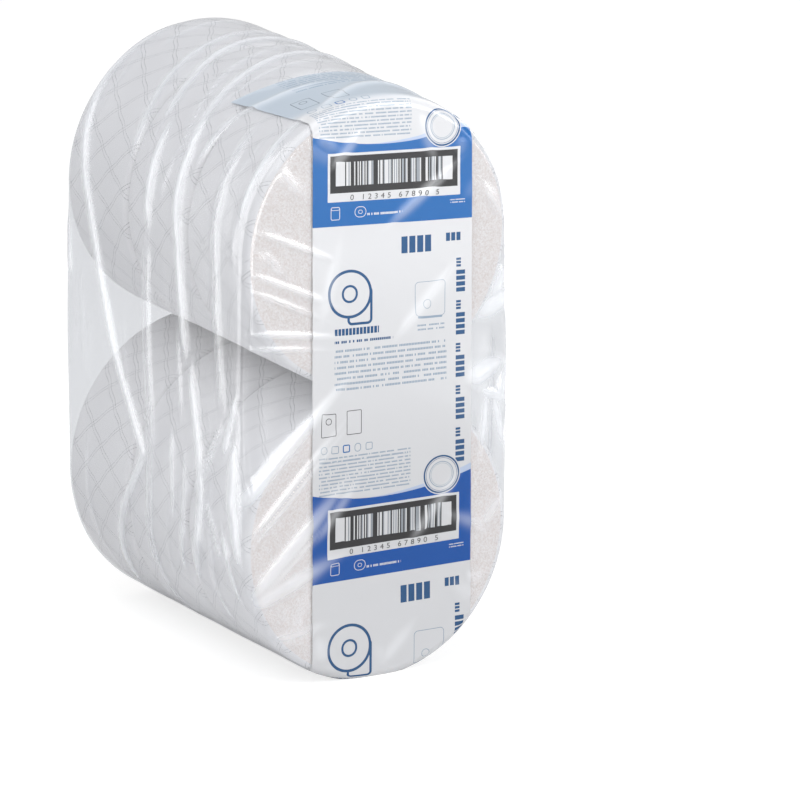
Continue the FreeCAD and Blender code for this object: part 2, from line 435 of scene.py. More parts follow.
# A tube drawn out into the outline of two stacked rolls, its ends filled with a grid
def makeFilmHull():
    deselectAll()
    bpy.ops.mesh.primitive_cylinder_add(
        vertices=film["hoopVertices"],
        radius=filmRadius,
        depth=packDepth,
        end_fill_type="NOTHING",
        location=(0, 0, packMiddle),
        rotation=(math.pi / 2, 0, 0),
    )
    piece = bpy.context.object
    piece.name = "film_skin"
    bakePlace(piece)
    startEditing(piece)
    for side in (1, -1):
        pickElements(piece, "vertices", lambda v: (v.co.z - packMiddle) * side > 0.1 * mm)
        bpy.ops.transform.translate(value=(0, 0, side * columnPitch / 2))
    bpy.ops.mesh.select_mode(type="EDGE")
    flank = columnPitch / 2
    pickElements(piece, "edges", lambda e: edgeSpan(piece, e).z > 0.9 * flank)
    bpy.ops.mesh.subdivide(number_cuts=film["flankCuts"])
    pickElements(piece, "edges", lambda e: edgeSpan(piece, e).y > 0.5 * packDepth)
    bpy.ops.mesh.subdivide(number_cuts=film["depthCuts"])
    for side in (1, -1):
        pickElements(piece, "edges", lambda e: isArchEdge(piece, e, side))
        bpy.ops.mesh.fill_grid()
    # A finer grid on the front end, whose creases run aslant
    bpy.ops.mesh.select_mode(type="FACE")
    pickElements(piece, "polygons", lambda f: f.center.y < 0.1 * mm - packDepth / 2)
    bpy.ops.mesh.subdivide(number_cuts=1)
    bpy.ops.mesh.select_all(action="SELECT")
    bpy.ops.mesh.normals_make_consistent(inside=False)
    bpy.ops.object.mode_set(mode="OBJECT")
    return piece


# Edges of one open end along the middle half of the top arch and of the bottom arch
def isArchEdge(piece, edge, side):
    reach = filmRadius * math.sin(math.radians(45)) + 0.1 * mm
    return all(
        coordAt(piece, i).y * side > packDepth / 2 - 0.1 * mm
        and abs(coordAt(piece, i).x) < reach
        for i in edge.vertices
    )


# Rounds the edge where the wrap turns from the rolls' sides to their ends
def roundShoulders(points):
    x, y, z = points.T
    lift = z - np.clip(z, lowerAxis, upperAxis)
    reach = np.maximum(np.hypot(x, lift), 1e-9)
    inward, depth = filmRadius - reach, packDepth / 2 - np.abs(y)
    size = film["shoulder"]
    near = (inward < size) & (depth < size)
    length = np.maximum(np.hypot(inward - size, depth - size), 1e-9)
    newInward = np.where(near, size + (inward - size) * size / length, inward)
    newDepth = np.where(near, size + (depth - size) * size / length, depth)
    points[:, 0] -= x / reach * (newInward - inward)
    points[:, 2] -= lift / reach * (newInward - inward)
    points[:, 1] = np.sign(y) * (packDepth / 2 - newDepth)


# How far round the hoop a point is, from the foot up the left side, and its outward direction
def hoopPlace(points):
    x, z = points[:, 0], points[:, 2]
    upper, lower = z > upperAxis, z < lowerAxis
    heightOver = np.where(upper, z - upperAxis, np.where(lower, z - lowerAxis, 0))
    angle = np.arctan2(heightOver, np.abs(x))
    along = quarter + np.clip(z - lowerAxis, 0, columnPitch)
    along = along + np.where(upper | lower, angle * filmRadius, 0)
    place = np.where(x <= 0, along, hoopLength - along)
    out = np.stack([np.sign(x) * np.cos(angle), 0 * x, np.sin(angle)], axis=1)
    return place, out


# Each crease on the left side: its height, half width and the gap to its twin, then
# (place round the hoop, place along Y) from low to high. All in millimetres.
mainCreases = [
    (2.1, 4.8, 0, [(70, 86), (100, 74), (125, 65), (150, 54), (175, 41), (200, 24), (214, 15), (235, 28),
                   (267, 48), (290, 61), (340, 82), (393, 101), (433, 116), (473, 127), (508, 130),
                   (560, 131)]),
    (1.2, 5.2, 0, [(418, 42), (458, 48), (485, 56), (515, 63), (553, 72), (593, 82), (640, 90)]),
    (1.9, 4.4, 0, [(455, 24), (483, 28), (508, 35), (533, 45), (565, 53), (595, 58), (690, 70)]),
    (0.9, 2.0, 3.6, [(410, -29), (433, -24), (468, -12), (503, 1), (533, 13), (563, 21), (595, 36),
                     (650, 44)]),
    (2.0, 4.6, 0, [(290, -51), (305, -49), (337, -44), (365, -39), (390, -36), (420, -30), (453, -26),
                   (478, -20), (503, -14), (540, -6), (570, 3), (603, 13), (720, 30)]),
    (0.9, 2.4, 0, [(480, -29), (528, -24), (570, -19), (605, -14), (700, -4)]),
    (1.7, 4.4, 0, [(370, 11), (390, 9), (423, 12), (453, 15), (485, 17)]),
    (1.3, 2.1, 5.4, [(60, 13), (122, 11), (150, 9), (200, 6), (250, 5), (287, 8), (337, 11), (395, 11)]),
    (1.4, 3.6, 0, [(435, -40), (468, -46), (493, -52), (515, -66), (540, -74), (570, -78)]),
    (1.1, 2.4, 4.6, [(262, -106), (280, -104), (317, -99), (350, -94), (395, -91), (428, -88), (453, -85),
                     (478, -83), (510, -78)]),
    (1.5, 4.4, 0, [(405, -123), (438, -122), (468, -121), (500, -120), (530, -116)]),
    (1.6, 3.6, 0, [(508, -129), (543, -114), (570, -99), (600, -88), (700, -80)]),
    (1.9, 5.0, 0, [(120, -52), (142, -59), (165, -64), (200, -71), (230, -70), (267, -64), (312, -56)]),
    (1.9, 4.6, 0, [(236, -106), (257, -112), (285, -124), (300, -128)]),
    (2.3, 7.0, 0, [(150, -130), (180, -124), (210, -117), (245, -122), (270, -126)]),
    (1.5, 2.8, 0, [(165, -30), (177, -29), (212, -28), (252, -28)]),
    (1.4, 2.8, 0, [(120, -34), (162, -41), (200, -46), (242, -48)]),
    (0.8, 1.6, 0, [(240, 101), (330, 109), (345, 111)]),
    (1.2, 2.1, 3.8, [(208, -73), (230, -81), (255, -97), (275, -108)]),
    (1.2, 2.1, 4.0, [(150, -104), (180, -90), (196, -82), (214, -74)]),
    (1.5, 3.6, 0, [(120, -122), (150, -114), (180, -104), (196, -98)]),
    (1.0, 2.2, 0, [(240, -44), (255, -43), (300, -40), (340, -36)]),
    (1.8, 4.0, 0, [(315, 124), (340, 129), (380, 132)]),
    (0.8, 3.4, 0, [(515, 104), (545, 110), (575, 116), (620, 120)]),
    (0.9, 2.2, 0, [(60, 96), (110, 100), (170, 103), (215, 104)]),
    (0.9, 2.2, 2.8, [(80, -86), (110, -84), (150, -82), (190, -84)]),
]


def smooth(share):
    return share * share * (3 - 2 * share)


# Height of every crease that runs round the wrap, at each point
def hoopRidges(points):
    place, out = hoopPlace(points)
    placeMm, alongMm = place / mm, points[:, 1] / mm
    rise = np.zeros(len(points))
    for height, halfWidth, twinGap, path in mainCreases + randomCreases():
        places, alongs = np.array(path, float).T
        fadeLength = min(34, 0.3 * (places[-1] - places[0]))
        opening = np.clip((placeMm - places[0]) / fadeLength, 0, 1)
        fade = smooth(opening * np.clip((places[-1] - placeMm) / fadeLength, 0, 1))
        middle = np.interp(placeMm, places, alongs)
        for shift in (-twinGap / 2, twinGap / 2) if twinGap else (0,):
            share = np.abs(alongMm - middle - shift) / (halfWidth * (0.45 + 0.55 * fade))
            rise = np.maximum(rise, height * mm * fade * np.exp(-(share**1.5)))
    return rise, out


# Finer creases where the film is drawn tight, most of them underneath and on the far side
def randomCreases():
    chooser = random.Random(21)
    hoop = hoopLength / mm
    creases = []
    for count in range(film["fineCreases"]):
        shy = count % 4 == 0
        start = chooser.uniform(60, 520) if shy else chooser.uniform(590, hoop + 60)
        length = chooser.uniform(50, 120) if shy else chooser.uniform(90, 330)
        along, drift = chooser.uniform(-126, 126), chooser.uniform(-16, 16)
        path = [
            (start + length * k / 4, along + drift * k / 4 + chooser.uniform(-2.5, 2.5)) for k in range(5)
        ]
        height = chooser.uniform(0.3, 0.6) if shy else chooser.uniform(0.6, 1.8)
        creases.append((height, chooser.uniform(1.6, 3.0) if shy else chooser.uniform(2.0, 4.8), 0, path))
    return creases


# Creases on the front end, as X and Z of where each starts and ends, height and half width, in millimetres
frontCreases = [
    ((-118, 276), (-14, 259), 1.1, 2.8),
    ((-118, 264), (-30, 252), 0.9, 2.6),
    ((-116, 324), (-14, 276), 1.0, 2.8),
    ((-116, 311), (-26, 268), 0.8, 2.6),
    ((-112, 355), (-14, 310), 0.9, 2.8),
    ((-150, 112), (-6, 247), 2.2, 5.5),
    ((-120, 105), (-12, 213), 1.3, 2.8),
    ((-118, 100), (-14, 204), 1.2, 2.8),
    ((-124, 54), (-10, 168), 1.7, 6.5),
    ((-122, 50), (-22, 142), 1.2, 4.0),
    ((-124, 61), (-16, 102), 1.6, 7.0),
    ((-100, 38), (-34, 46), 1.0, 5.0),
    ((-88, 400), (-54, 362), 0.9, 4.6),
    ((0, 334), (80, 390), 1.0, 3.6),
    ((10, 248), (76, 316), 1.1, 4.4),
    ((-42, 386), (-8, 420), 0.9, 4.0),
    ((-58, 102), (-6, 164), 0.9, 4.0),
    ((22, 92), (80, 158), 0.9, 4.0),
    ((-50, 262), (-26, 352), 0.7, 4.0),
    ((118, 280), (74, 256), 1.7, 8.0),
    ((112, 304), (90, 264), 1.3, 5.5),
    ((70, 212), (116, 230), 1.8, 9.0),
    ((116, 194), (78, 208), 1.3, 5.0),
    ((94, 214), (84, 138), 1.2, 3.8),
    ((96, 212), (110, 140), 1.2, 3.8),
    ((118, 236), (98, 180), 1.3, 6.0),
    ((108, 128), (80, 92), 1.0, 5.5),
    ((108, 330), (82, 372), 0.9, 4.4),
]


# Height of the creases of a flat end, at each point
def endRidges(points, creases):
    x, z = points[:, 0] / mm, points[:, 2] / mm
    rise = np.zeros(len(points))
    for first, last, height, halfWidth in creases:
        run = np.array(last, float) - np.array(first, float)
        length = np.hypot(*run)
        run /= length
        along = (x - first[0]) * run[0] + (z - first[1]) * run[1]
        across = np.abs((x - first[0]) * run[1] - (z - first[1]) * run[0])
        opening = np.clip(along / (0.3 * length), 0, 1)
        fade = smooth(opening * np.clip((length - along) / (0.5 * length), 0, 1))
        width = halfWidth * (0.35 + 0.65 * fade)
        rise = np.maximum(rise, height * mm * fade * np.exp(-((across / width) ** 2)))
    return rise


# Creases that run in from the rim of a flat end and die away
def randomEndCreases(seed, count):
    chooser = random.Random(seed)
    rim = 102  # from the axis, just inside the shoulder
    creases = []
    for _ in range(count):
        turn = chooser.uniform(0, math.tau)
        axis = upperAxis if math.sin(turn) > 0 else lowerAxis
        rimX, rimZ = rim * math.cos(turn), axis / mm + rim * math.sin(turn)
        reach = chooser.uniform(18, 60)
        lean = turn + math.pi + chooser.uniform(-0.8, 0.8)
        last = (rimX + reach * math.cos(lean), rimZ + reach * math.sin(lean))
        creases.append(((rimX, rimZ), last, chooser.uniform(0.3, 0.8), chooser.uniform(3.6, 6.0)))
    return creases


# Draws the film tight over the rolls, creases it and notes how much each point whitens: real milkiness and
# painted highlight along the creases
def creaseFilm(piece):
    points = readPoints(piece)
    roundShoulders(points)
    span = np.clip((points[:, 2] - lowerAxis) / columnPitch, 0, 1)
    swell = film["waistSwell"] * np.sin(math.pi * span) ** 2
    points[:, 0] *= 1 + swell / filmRadius
    rise, out = hoopRidges(points)
    edge = packDepth / 2 - np.abs(points[:, 1])
    onHoop = np.clip(edge / (10 * mm), 0, 1)
    x, y, z = points.T.copy()
    waves = np.sin(z * 61 + 3 * np.sin(y * 23)) * np.sin(y * 47 + 2 * np.sin(z * 17 + x * 9))
    slack = film["slack"] * (waves + 1)
    for axis in range(3):
        points[:, axis] += out[:, axis] * onHoop * (rise + slack)
    onEnd = np.clip(1 - edge / (2 * mm), 0, 1)
    front = endRidges(points, frontCreases + randomEndCreases(seed=5, count=16))
    wide, tall = film["hollowReach"]
    beside = np.exp(-(((np.abs(x) - film["hollowAt"]) / wide) ** 2) - ((z - packMiddle) / tall) ** 2)
    back = endRidges(points, randomEndCreases(seed=9, count=26))
    endRise = np.where(y < 0, front, back)
    points[:, 1] += np.sign(y) * onEnd * (endRise + slack)
    points[:, 1] += np.where(y < 0, onEnd * film["hollow"] * beside, 0)
    points[:, 2] = np.maximum(points[:, 2], 0.0)
    writePoints(piece, points)
    # Creases are made milky: partly the film's real stress-whitening, partly painted highlight in place of
    # their glints
    overShoulder = np.clip(1 - edge / (10 * mm), 0, 1)
    folded = np.clip((rise * onHoop + endRise * overShoulder) / film["milkyAndHighlight"], 0, 1)
    layer = piece.data.attributes.new("fold", "FLOAT", "POINT")
    layer.data.foreach_set("value", folded.astype(np.float32))


# Lays the sheet flat: U runs across it and V up the printed front, then back over the top
def mapPrint(piece):
    points = readPoints(piece) / mm
    x, y, z = points.T
    skew = printArea["skew"] * (x - printArea["left"]) * np.clip((z - 100) / 240, 0, 1)
    inward = y - frontPlane / mm
    climb = z + skew + np.where(z > lowerAxis / mm, inward, -inward)
    loops = np.empty(len(piece.data.loops), np.int32)
    piece.data.loops.foreach_get("vertex_index", loops)
    layer = piece.data.uv_layers.new(name="sheet")
    layer.data.foreach_set("uv", np.stack([x, climb], axis=1)[loops].astype(np.float32).ravel())
    # A margin past the print's own edges, which the material draws
    low, high = printArea["left"] - 3, printArea["right"] + 3
    for face in piece.data.polygons:
        centre = face.center / mm
        onFront = centre.y < frontPlane / mm + 9
        onTop = centre.z > upperAxis / mm + 60 and centre.y < printArea["backOnTop"] + 4
        face.material_index = int(low - 14 * onTop < centre.x < high and (onFront or onTop))


def makeFilm():
    piece = makeFilmHull()
    creaseFilm(piece)
    mapPrint(piece)
    selectOnly(piece)
    bpy.ops.object.shade_smooth()
    return piece


# Places on the sheet in millimetres: across it, and up it from the foot of the front
printArea = {
    "left": -54.5,
    "right": 79.0,
    "backOnTop": -14.0,
    "repeat": 270.0,
    "bandFoot": 347.0,  # the upper band's lower edge
    "bandTop": 60.0,  # the band's height at its middle
    "bandMiddle": 5.0,
    "bandHollow": 0.0021,  # millimetres up for each squared millimetre from the middle
    "sliver": (-10.0, 78.0, 5.0),  # from, to and how much taller than the band it gets
    "split": 91.0,  # how far over a band's foot one repeat of the print ends and the next begins
    "overEdge": (440.0, 458.0),  # where the sheet turns from the front to the top
    "end": 523.0,
    "lean": (430.0, 9.0),  # the left edge leans out from here, and how far at the end
    "cover": (0.95, 0.8),  # of the ink on the front and over the top
    "skew": 0.073,  # how far the film was pulled aslant
    "paintedShadeLow": (150.0, 330.0),  # where painted shade darkens the print downwards
}
inks = {
    "blue": "#2064A8",
    # the band's blue darkened, as painted shade low on the front
    "shadedLowBand": "#004EA0",
    "deep": "#27527F",
    "pale": "#B5C3DC",
    "black": "#303032",
    "grey": "#91979E",
    "white": "#D3D4D7",
    "line": "#8E9FB1",
}
# Each shape: middle, half size, corner radius, line width (0 is filled) and ink, from the band's foot up
printShapes = [
    ((13.5, 36.3), (55.5, 18.2), 0.4, 0, "white"),
    ((13.4, 38.6), (53.4, 13.9), 0.2, 0, "black"),
    ((13.6, 38.9), (48.9, 8.9), 0.2, 0, "white"),
    ((54.0, 70.5), (15.8, 15.8), 15.8, 0, "white"),
    ((54.0, 70.5), (14.4, 14.4), 14.4, 1.3, "deep"),
    ((54.0, 70.5), (12.9, 12.9), 12.9, 0.35, "deep"),
    ((54.0, 70.5), (10.0, 10.0), 10.0, 0.6, "line"),
    ((54.0, 70.5), (8.8, 8.8), 8.8, 0.3, "line"),
    ((-35.5, 9.6), (3.6, 4.6), 1.2, 0.5, "white"),
    ((-35.5, 13.2), (3.4, 1.1), 1.0, 0.4, "white"),
    ((-14.6, 9.9), (4.6, 3.8), 3.7, 0.5, "white"),
    ((-14.6, 9.9), (1.6, 1.3), 1.3, 0.4, "white"),
    # a roll and its hanging sheet, outlined
    ((-15.0, -61.5), (9.5, 13.5), 3.0, 2.0, "deep"),
    ((-23.5, -52.0), (18.5, 18.5), 18.4, 0, "white"),
    ((-23.5, -52.0), (17.5, 17.5), 17.4, 2.2, "deep"),
    ((-23.5, -52.0), (5.8, 6.0), 5.7, 1.8, "deep"),
    # a wall holder
    ((43.8, -61.0), (12.5, 13.5), 3.0, 0.5, "line"),
    ((41.0, -65.5), (3.2, 3.2), 3.1, 0.5, "line"),
    ((43.8, -75.2), (10.5, 0.8), 0.7, 0, "line"),
    # two small panels and a row of care marks
    ((-40.9, -150.5), (6.0, 8.5), 0.8, 0.5, "black"),
    ((-19.6, -150.0), (6.0, 9.0), 0.8, 0.5, "black"),
    ((-40.9, -147.5), (2.3, 2.3), 2.2, 0.5, "black"),
    ((-45.0, -169.5), (2.6, 2.6), 2.5, 0.6, "line"),
    ((-35.5, -169.5), (2.9, 2.6), 0.9, 0.6, "line"),
    ((-26.0, -169.5), (2.6, 2.6), 0.9, 0.9, "blue"),
    ((-16.5, -169.5), (2.4, 3.0), 2.3, 0.6, "line"),
    ((-7.0, -169.5), (2.6, 2.6), 0.9, 0.6, "line"),
]
# Rows of plain blocks: left, right, foot, top, row pitch, block width, share of the pitch inked and ink
printRows = [
    (-49, 28, 66, 93, 2.75, 1.0, 0.42, "line"),
    (19.8, 45.0, -24, -10.5, 14.5, 6.6, 0.9, "deep"),
    (57.1, 69.6, -17, -10.5, 14.5, 4.4, 0.9, "deep"),
    (-36, 1, -83.2, -78.0, 6.0, 3.0, 0.9, "deep"),
    (-36, 13, -89.0, -85.0, 4.6, 1.6, 0.42, "deep"),
    (-36, 58, -125.0, -91.5, 4.2, 1.3, 0.42, "line"),
    (-49, 28, -179, -174.2, 2.75, 1.0, 0.42, "line"),
    (65.8, 73.3, 78.8, 92, 4.6, 30, 0.72, "deep"),
    (-9, 20, 7, 10.5, 4.0, 1.1, 0.42, "white"),
    (60, 73, 12, 15.5, 2.0, 0.7, 0.42, "white"),
    (33, 56, -85, -79, 3.2, 1.2, 0.42, "line"),
]
for group in range(5):
    foot = -57.6 - 33.4 * group
    printRows.append((65.8, 73.3, foot, foot + 18.4, 4.6, 30, 0.72, "deep"))
    printRows.append((65.8, 69.8, foot + 19.7, foot + 27.5, 2.6, 30, 0.72, "deep"))


# Fields of ink on the sheet: gives the ink's colour and how far it covers the film
def printNodes(tree):
    sheet = addNode(tree, "UVMap", {"uv_map": "sheet"})
    across = addNode(tree, "SeparateXYZ", None, {0: sheet})
    repeat = printArea["repeat"]
    lowest = printArea["split"] - repeat
    lifted = addNode(
        tree, "Math", {"operation": "SUBTRACT"}, {0: (across, 1), 1: printArea["bandFoot"] + lowest}
    )
    cycle = addNode(tree, "Math", {"operation": "FLOORED_MODULO"}, {0: lifted, 1: repeat})
    up = addNode(tree, "Math", {"operation": "ADD"}, {0: cycle, 1: lowest})
    flat = addNode(tree, "CombineXYZ", None, {0: (across, 0), 1: up, 2: 0.0})
    # The band's upper edge is hollow, with a pale sliver along its right part
    side = addNode(tree, "Math", {"operation": "SUBTRACT"}, {0: (across, 0), 1: printArea["bandMiddle"]})
    square = addNode(tree, "Math", {"operation": "MULTIPLY"}, {0: side, 1: side})
    top = addNode(
        tree, "Math", {"operation": "MULTIPLY_ADD"},
        {0: square, 1: printArea["bandHollow"], 2: printArea["bandTop"]},
    )
    first, last, taller = printArea["sliver"]
    sliver = addNode(
        tree, "MapRange", None,
        {"Value": (across, 0), "From Min": first, "From Max": last, "To Max": taller},
    )
    sliverTop = addNode(tree, "Math", {"operation": "ADD"}, {0: top, 1: sliver})
    overFoot = addNode(tree, "Math", {"operation": "GREATER_THAN"}, {0: up, 1: 0.0})
    colour = addNode(tree, "RGB")
    colour.outputs[0].default_value = toLinear(inks["white"])
    for edge, ink in ((sliverTop, "pale"), (top, "blue")):
        under = addNode(tree, "Math", {"operation": "LESS_THAN"}, {0: up, 1: edge})
        inBand = addNode(tree, "Math", {"operation": "MULTIPLY"}, {0: under, 1: overFoot})
        colour = overprint(tree, colour, inBand, ink)
    # Painted shade: the print and the lower band darken towards the foot of the front
    first, last = printArea["paintedShadeLow"]
    paintedShadeLow = addNode(
        tree, "MapRange", None,
        {"Value": (across, 1), "From Min": first, "From Max": last, "To Min": 1.0, "To Max": 0.0},
    )
    shadedLowBand = addNode(tree, "Math", {"operation": "MULTIPLY"}, {0: paintedShadeLow, 1: inBand})
    colour = overprint(tree, colour, shadedLowBand, "shadedLowBand")
    for number, row in enumerate(printRows):
        colour = overprint(tree, colour, rowMask(tree, flat, number), row[-1])
    for shape in printShapes:
        colour = overprint(tree, colour, shapeMask(tree, flat, *shape[:-1]), shape[-1])
    colour = barStripes(tree, flat, colour)
    first, last = printArea["overEdge"]
    overTop = addNode(
        tree, "MapRange", {"interpolation_type": "SMOOTHSTEP"},
        {"Value": (across, 1), "From Min": first, "From Max": last},
    )
    topShade = addNode(tree, "Math", {"operation": "MULTIPLY"}, {0: overTop, 1: 0.35})
    # Cooler and paler over the top, and a little darker low on the front: both are painted shade
    for share, blend, tint in (
        (overTop, "MULTIPLY", "#E4F0FC"), (topShade, "MIX", "#BCC8D3"), (paintedShadeLow, "MULTIPLY", "#E6E6E6")
    ):
        colour = addNode(
            tree, "Mix", {"data_type": "RGBA", "blend_type": blend},
            {"Factor": share, "A": (colour, 2), "B": toLinear(tint)},
        )
    return colour, printCover(tree, across)


# Lays an ink over the colour wherever the mask is one
def overprint(tree, colour, mask, ink):
    socket = (colour, 0 if colour.bl_idname == "ShaderNodeRGB" else 2)
    return addNode(
        tree, "Mix", {"data_type": "RGBA"}, {"Factor": mask, "A": socket, "B": toLinear(inks[ink])}
    )


# One where a box with rounded corners, filled or drawn as a line, is printed
def shapeMask(tree, flat, middle, halfSize, corner, lineWidth):
    moved = addNode(tree, "VectorMath", {"operation": "SUBTRACT"}, {0: flat, 1: (*middle, 0)})
    folded = addNode(tree, "VectorMath", {"operation": "ABSOLUTE"}, {0: moved})
    straight = (halfSize[0] - corner, halfSize[1] - corner, 0)
    beyond = addNode(tree, "VectorMath", {"operation": "SUBTRACT"}, {0: folded, 1: straight})
    beyond = addNode(tree, "VectorMath", {"operation": "MAXIMUM"}, {0: beyond, 1: (0, 0, 0)})
    length = addNode(tree, "VectorMath", {"operation": "LENGTH"}, {0: beyond})
    off = addNode(tree, "Math", {"operation": "SUBTRACT"}, {0: (length, "Value"), 1: corner})
    if lineWidth:
        off = addNode(tree, "Math", {"operation": "ABSOLUTE"}, {0: off})
    return addNode(tree, "Math", {"operation": "LESS_THAN"}, {0: off, 1: lineWidth / 2 + 1e-4})


blocks = {
    "inked": 0.78,  # share of a block's width
    "narrow": 2.0,  # blocks narrower than this are left out here and there
    "leftOut": 0.18,  # share of the narrow blocks
    "barWidth": 0.95,
}


# One on the blocks of a group of rows
def rowMask(tree, flat, number):
    left, right, foot, head, pitch, block, inked, _ = printRows[number]
    middle = ((left + right) / 2, (foot + head) / 2)
    size = ((right - left) / 2, (head - foot) / 2)
    inside = shapeMask(tree, flat, middle, size, 0.01, 0)
    split = addNode(tree, "SeparateXYZ", None, {0: flat})
    over = addNode(tree, "Math", {"operation": "SUBTRACT"}, {0: (split, 1), 1: foot})
    place = addNode(tree, "CombineXYZ", None, {2: float(number)})
    parts = []
    for axis, start, step, share in ((0, (split, 0), block, blocks["inked"]), (1, over, pitch, inked)):
        count = addNode(tree, "Math", {"operation": "DIVIDE"}, {0: start, 1: step})
        whole = addNode(tree, "Math", {"operation": "FLOOR"}, {0: count})
        tree.links.new(whole.outputs[0], place.inputs[axis])
        part = addNode(tree, "Math", {"operation": "FRACT"}, {0: count})
        parts.append(addNode(tree, "Math", {"operation": "LESS_THAN"}, {0: part, 1: share}))
    chance = addNode(tree, "TexWhiteNoise", {"noise_dimensions": "3D"}, {"Vector": place})
    gaps = blocks["leftOut"] if block < blocks["narrow"] else -1.0
    parts.append(addNode(tree, "Math", {"operation": "GREATER_THAN"}, {0: chance, 1: gaps}))
    for part in parts:
        inside = addNode(tree, "Math", {"operation": "MULTIPLY"}, {0: inside, 1: part})
    return inside


# Plain upright bars of black and grey in no order, inside the dark frame
def barStripes(tree, flat, colour):
    inside = shapeMask(tree, flat, (13.8, 38.9), (41.5, 8.9), 0.01, 0)
    split = addNode(tree, "SeparateXYZ", None, {0: flat})
    count = addNode(tree, "Math", {"operation": "DIVIDE"}, {0: (split, 0), 1: blocks["barWidth"]})
    count = addNode(tree, "Math", {"operation": "FLOOR"}, {0: count})
    chance = addNode(tree, "TexWhiteNoise", {"noise_dimensions": "1D"}, {"W": count})
    for limit, ink in ((0.55, "grey"), (0.30, "black")):
        hit = addNode(tree, "Math", {"operation": "LESS_THAN"}, {0: chance, 1: limit})
        hit = addNode(tree, "Math", {"operation": "MULTIPLY"}, {0: hit, 1: inside})
        colour = overprint(tree, colour, hit, ink)
    return colour


# How far the ink covers: nearly all on the front and a little less over the top, with straight edges
def printCover(tree, across):
    height = (across, 1)
    left, right, end = printArea["left"], printArea["right"], printArea["end"]
    start, outwards = printArea["lean"]
    lean = addNode(
        tree, "MapRange", None,
        {"Value": height, "From Min": start, "From Max": end, "To Min": left, "To Max": left - outwards},
    )
    rightOfEdge = addNode(tree, "Math", {"operation": "GREATER_THAN"}, {0: (across, 0), 1: lean})
    leftOfEdge = addNode(tree, "Math", {"operation": "LESS_THAN"}, {0: (across, 0), 1: right})
    first, last = printArea["overEdge"]
    onFront, onTop = printArea["cover"]
    cover = addNode(
        tree, "MapRange", {"interpolation_type": "SMOOTHSTEP"},
        {"Value": height, "From Min": first, "From Max": last, "To Min": onFront, "To Max": onTop},
    )
    beforeEnd = addNode(tree, "Math", {"operation": "LESS_THAN"}, {0: height, 1: end})
    for more in (rightOfEdge, leftOfEdge, beforeEnd):
        cover = addNode(tree, "Math", {"operation": "MULTIPLY"}, {0: cover, 1: more})
    return cover


digits = {
    "text": "0 12345 67890 5",
    "spacing": 1.7,
    "height": 4.0 * mm,
    "left": -23.5 * mm,
    "right": 51.0 * mm,
    "foot": 19.4,  # over the band's foot, in millimetres on the sheet
    "proud": 0.15 * mm,
    "coat": 0.05 * mm,
}


# Plain digits under the bars, laid on the film
def makeDigits(skin):
    deselectAll()
    bpy.ops.object.text_add(rotation=(math.pi / 2, 0, 0))
    row = bpy.context.object
    row.name = "print_digits_upper"
    row.data.body = digits["text"]
    row.data.space_character = digits["spacing"]
    bpy.ops.object.convert(target="MESH")
    row = bpy.context.object
    wide, tall = row.dimensions.x, row.dimensions.y
    row.scale = ((digits["right"] - digits["left"]) / wide, digits["height"] / tall, 1)
    bakePlace(row)
    bpy.ops.object.duplicate()
    lowerRow = bpy.context.object
    lowerRow.name = "print_digits_lower"
    low = digits["foot"] + printArea["bandFoot"]
    skewAtLeft = printArea["skew"] * (digits["left"] / mm - printArea["left"])
    row.rotation_euler = (0, math.atan(printArea["skew"]), 0)
    before = frontPlane - 4 * mm  # clear of every crease, and then laid back onto the film
    row.location = (digits["left"], before, (low - skewAtLeft) * mm)
    lowerRow.location = (digits["left"], before, (low - printArea["repeat"]) * mm)
    ink = inkMaterial()
    for piece in (row, lowerRow):
        bakePlace(piece)
        wrap = piece.modifiers.new("lay_on_film", "SHRINKWRAP")
        wrap.target = skin
        wrap.wrap_method = "PROJECT"
        wrap.use_project_y = True
        wrap.use_positive_direction, wrap.use_negative_direction = True, True
        wrap.wrap_mode = "ABOVE_SURFACE"
        wrap.offset = digits["proud"]
        bpy.ops.object.modifier_apply(modifier=wrap.name)
        coat = piece.modifiers.new("ink_coat", "SOLIDIFY")
        coat.thickness, coat.offset = digits["coat"], 0
        bpy.ops.object.modifier_apply(modifier=coat.name)
        piece.data.materials.append(ink)
        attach(piece, "root")


# Flexographic ink, dark grey: it dries flat and slightly glossy on the film
def inkMaterial():
    material, tree = newMaterial("flexo_ink_dark")
    shader = addNode(tree, "BsdfPrincipled", None, {"Base Color": toLinear("#3A3A3C"), "Roughness": 0.4})
    addNode(tree, "OutputMaterial", None, {"Surface": shader})
    return material


